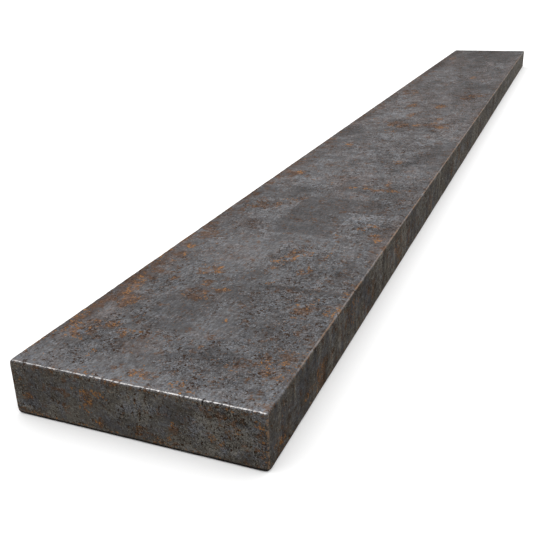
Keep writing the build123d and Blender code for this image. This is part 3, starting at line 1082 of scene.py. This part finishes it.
def mill_scale_steel(finish):
    """Mill scale with rust and worn edges. The mesh's fields say roughly where; noise makes them ragged."""
    material = bpy.data.materials.new("mill_scale_steel")
    sheet = MaterialSheet(material)

    # What is known at each place: the mesh's fields, the place itself, and what the patches add to them.
    at = SimpleNamespace(**{name: sheet.field(name) for name in FIELD_NAMES})
    at.place = sheet.add("ShaderNodeAttribute", {"attribute_name": "pattern"}, output="Vector")
    at.crosswise = sheet.stretched(at.place, 0.6, 1.0, 1.0)
    at.sheets, placed_bloom, plate = hand_placed_patches(sheet, at)
    lines = edge_lines(sheet, at)
    plate_outline = abs(plate).above(0.75, 0.25)
    at.whole = plate.above(0.1, 0.6)
    at.tone = at.tone + at.sheets
    at.bloom = sheet.strongest(at.bloom, plate_outline * 1.05, placed_bloom, lines.bloom)

    texture = scale_texture(sheet, at)
    colour = scale_colour(sheet, at, texture, lines, finish)
    colour, rusty = rusted(sheet, at, texture["grain"], colour, finish)
    colour, bare_share = with_worn_edges(sheet, at, lines, colour, finish)
    roughness = SCALE_ROUGHNESS + texture["mottle"] * 0.03 + rusty * RUST_ROUGHER
    roughness = roughness * (1 - bare_share) + bare_share * STEEL_ROUGHNESS
    height = (mixed_by(HEIGHT_OF, texture) + rusty * 0.15) * (1 - bare_share * 0.7)
    heights = {"Strength": 1.0, "Distance": BUMP_HEIGHT * MM, "Height": height}
    bump = sheet.add("ShaderNodeBump", None, heights)
    shader = sheet.add(
        "ShaderNodeBsdfPrincipled",
        None,
        {
            "Base Color": colour,
            "Roughness": roughness,
            "Metallic": bare_share,
            "Specular IOR Level": 0.05,
            "Normal": bump,
        },
    )
    sheet.add("ShaderNodeOutputMaterial", None, {"Surface": shader})
    return material


def floor_paint(colour):
    """Even matt paint."""
    material = bpy.data.materials.new("floor_paint")
    sheet = MaterialSheet(material)
    shader = sheet.add("ShaderNodeBsdfDiffuse", None, {"Color": (*colour, 1.0)})
    sheet.add("ShaderNodeOutputMaterial", None, {"Surface": shader})
    return material


def studio_light(studio):
    """The world: brightest overhead, softer towards the horizon and nearly dark below it."""
    world = bpy.data.worlds.new("studio_light")
    sheet = MaterialSheet(world)
    direction = sheet.add("ShaderNodeTexCoord", output="Generated")
    height = sheet.add("ShaderNodeSeparateXYZ", None, {0: direction}, output="Z")
    upper = height.above(0.0, 1.0) * (studio.zenith_light - studio.horizon_light) + studio.horizon_light
    lower = height.above(-0.02, 0.0)
    strength = lower * (upper - studio.nadir_light) + studio.nadir_light
    light = sheet.add("ShaderNodeBackground", None, {"Color": (1, 1, 1, 1), "Strength": strength})
    sheet.add("ShaderNodeOutputWorld", None, {"Surface": light})
    return world


# ----------------------------------------------------------------------------------------------------------
# Operators
# ----------------------------------------------------------------------------------------------------------


class FLATBAR_OT_bar(bpy.types.Operator):
    """Builds the bar's surface and finish"""

    bl_idname = "flatbar.bar"
    bl_label = "Build the bar"

    def execute(self, context):
        bar, finish = context.scene.flat_bar, context.scene.flat_bar_finish
        stations = bar_stations(bar)
        cells, sides = lattice_surface([len(s) for s in stations])
        block = np.stack([s[n] for s, n in zip(stations, cells.T)], axis=1)
        points = rolled_and_filed(block, bar)
        fields = surface_fields(points)
        points -= outward(points, bar) * worn_relief(points, fields["stain"], bar)[:, None]
        points[:, 2] += THICKNESS / 2
        faces = np.concatenate([grid_faces(grid) for grid in sides.values()])
        piece = mesh_of("bar_surface", points * MM, faces)
        bake_map = piece.data.uv_layers.new(name="OFBake")
        bake_map.uv.foreach_set("vector", unrolled(block, sides).ravel().astype(np.float32))
        for name, values in fields.items():
            store_field(piece.data, name, values)
        piece.data.materials.append(mill_scale_steel(finish))
        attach(piece, "root")
        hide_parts("flat_bar")
        return {"FINISHED"}


class FLATBAR_OT_studio(bpy.types.Operator):
    """Builds the floor, the light and the camera"""

    bl_idname = "flatbar.studio"
    bl_label = "Build the studio"

    def execute(self, context):
        scene, studio = context.scene, context.scene.flat_bar_studio
        scene.view_settings.view_transform = "Standard"
        scene.world = studio_light(studio)
        half = studio.floor_size / 2
        corners = np.array([(-half, -half, 0), (half, -half, 0), (half, half, 0), (-half, half, 0)])
        floor = mesh_of("floor", corners, np.array([(0, 1, 2, 3)]))
        floor.data.materials.append(floor_paint(studio.floor_colour))
        floor.visible_diffuse = False
        floor.visible_glossy = False
        self.place_camera(scene, studio)
        return {"FINISHED"}

    def place_camera(self, scene, studio):
        data = bpy.data.cameras.new("camera")
        data.sensor_width, data.lens = 36.0, studio.lens
        data.clip_start, data.clip_end = 0.01, 200.0
        camera = bpy.data.objects.new("camera", data)
        turn = (
            Matrix.Rotation(studio.camera_azimuth, 4, "Z")
            @ Matrix.Rotation(math.pi / 2 - studio.camera_pitch, 4, "X")
            @ Matrix.Rotation(studio.camera_roll, 4, "Z")
        )
        camera.matrix_world = Matrix.Translation(studio.camera_place) @ turn
        scene.collection.objects.link(camera)
        scene.camera = camera


class FLATBAR_PT_sidebar(bpy.types.Panel):
    """Lists the settings and the operators"""

    bl_label = "Flat bar"
    bl_idname = "FLATBAR_PT_sidebar"
    bl_space_type = "VIEW_3D"
    bl_region_type = "UI"
    bl_category = "Flat bar"

    def draw(self, context):
        scene = context.scene
        for groups, operator in (
            ((scene.flat_bar, scene.flat_bar_finish), FLATBAR_OT_bar),
            ((scene.flat_bar_studio,), FLATBAR_OT_studio),
        ):
            box = self.layout.box()
            for group in groups:
                for name in group.bl_rna.properties.keys():
                    if name not in ("rna_type", "name"):
                        box.prop(group, name)
            box.operator(operator.bl_idname)


CLASSES = (BarSettings, FinishSettings, StudioSettings, FLATBAR_OT_bar, FLATBAR_OT_studio, FLATBAR_PT_sidebar)


def register():
    for cls in CLASSES:
        bpy.utils.register_class(cls)
    bpy.types.Scene.flat_bar = PointerProperty(type=BarSettings)
    bpy.types.Scene.flat_bar_finish = PointerProperty(type=FinishSettings)
    bpy.types.Scene.flat_bar_studio = PointerProperty(type=StudioSettings)


def unregister():
    del bpy.types.Scene.flat_bar_studio
    del bpy.types.Scene.flat_bar_finish
    del bpy.types.Scene.flat_bar
    for cls in reversed(CLASSES):
        bpy.utils.unregister_class(cls)


def main():
    register()
    bpy.ops.flatbar.bar()
    bpy.ops.flatbar.studio()


if __name__ == "__main__":
    main()
